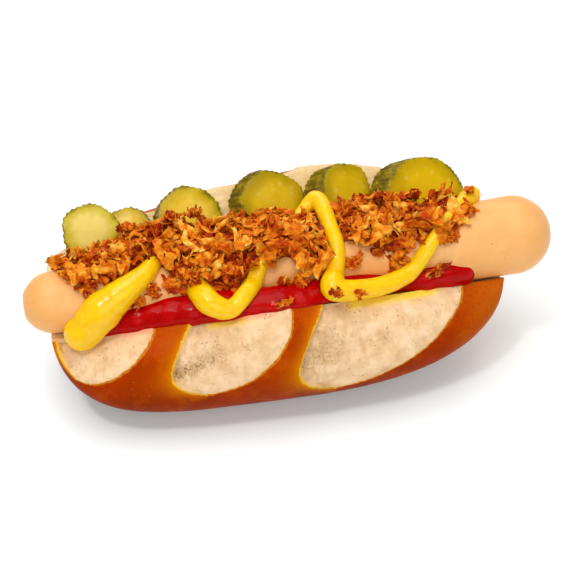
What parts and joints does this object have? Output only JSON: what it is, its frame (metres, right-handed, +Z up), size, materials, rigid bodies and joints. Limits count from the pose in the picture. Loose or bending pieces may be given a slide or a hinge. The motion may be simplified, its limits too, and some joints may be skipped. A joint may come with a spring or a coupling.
{
  "type": "hot dog",
  "caption": "Scored lye roll split along its top, holding a long sausage with ketchup, zigzag mustard, gherkin slices and crisp fried onions.",
  "frame": {"origin": "middle of the roll's flat underside", "axes": "+X along the roll towards the sausage's thicker end, +Y towards the gherkin slices, +Z up"},
  "size_m": [0.2002, 0.0918, 0.065],
  "materials": {
    "roll": "baked lye crust, glossy, with matt crumb in the slashes",
    "sausage": "smooth satin skin",
    "gherkin": "wet translucent slice with a dark warty rind",
    "ketchup": "wet gloss",
    "mustard": "smooth gloss",
    "onions": "dry crisp fried flakes"
  },
  "bodies": {
    "root": {"roll": "roll", "sausage": "sausage", "gherkin_1": "gherkin", "gherkin_2": "gherkin", "gherkin_3": "gherkin", "gherkin_4": "gherkin", "gherkin_5": "gherkin", "gherkin_6": "gherkin", "ketchup": "ketchup", "mustard": "mustard", "onions": "onions"}
  },
  "joints": []
}
